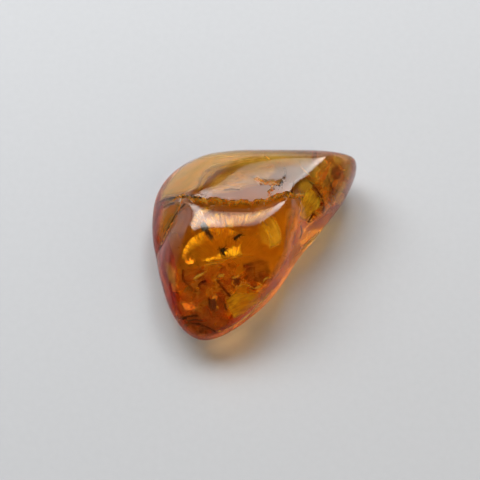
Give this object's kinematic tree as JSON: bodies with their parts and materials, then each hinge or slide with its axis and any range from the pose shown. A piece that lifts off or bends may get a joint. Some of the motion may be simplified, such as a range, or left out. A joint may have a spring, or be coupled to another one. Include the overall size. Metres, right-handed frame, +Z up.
{
  "type": "insect in amber",
  "caption": "Tumbled and polished amber nugget with a tail, a domed front and a fold across its crown, holding small sealed-in gnats.",
  "frame": {"origin": "middle of the stone's box, on the surface that it lies on", "axes": "+Z up, -Y towards the blunt front tip, +X towards the tail's side"},
  "size_m": [0.0346, 0.0354, 0.013],
  "materials": {
    "amber": "polished"
  },
  "bodies": {
    "root": {"amber_nugget": "amber"}
  },
  "joints": []
}
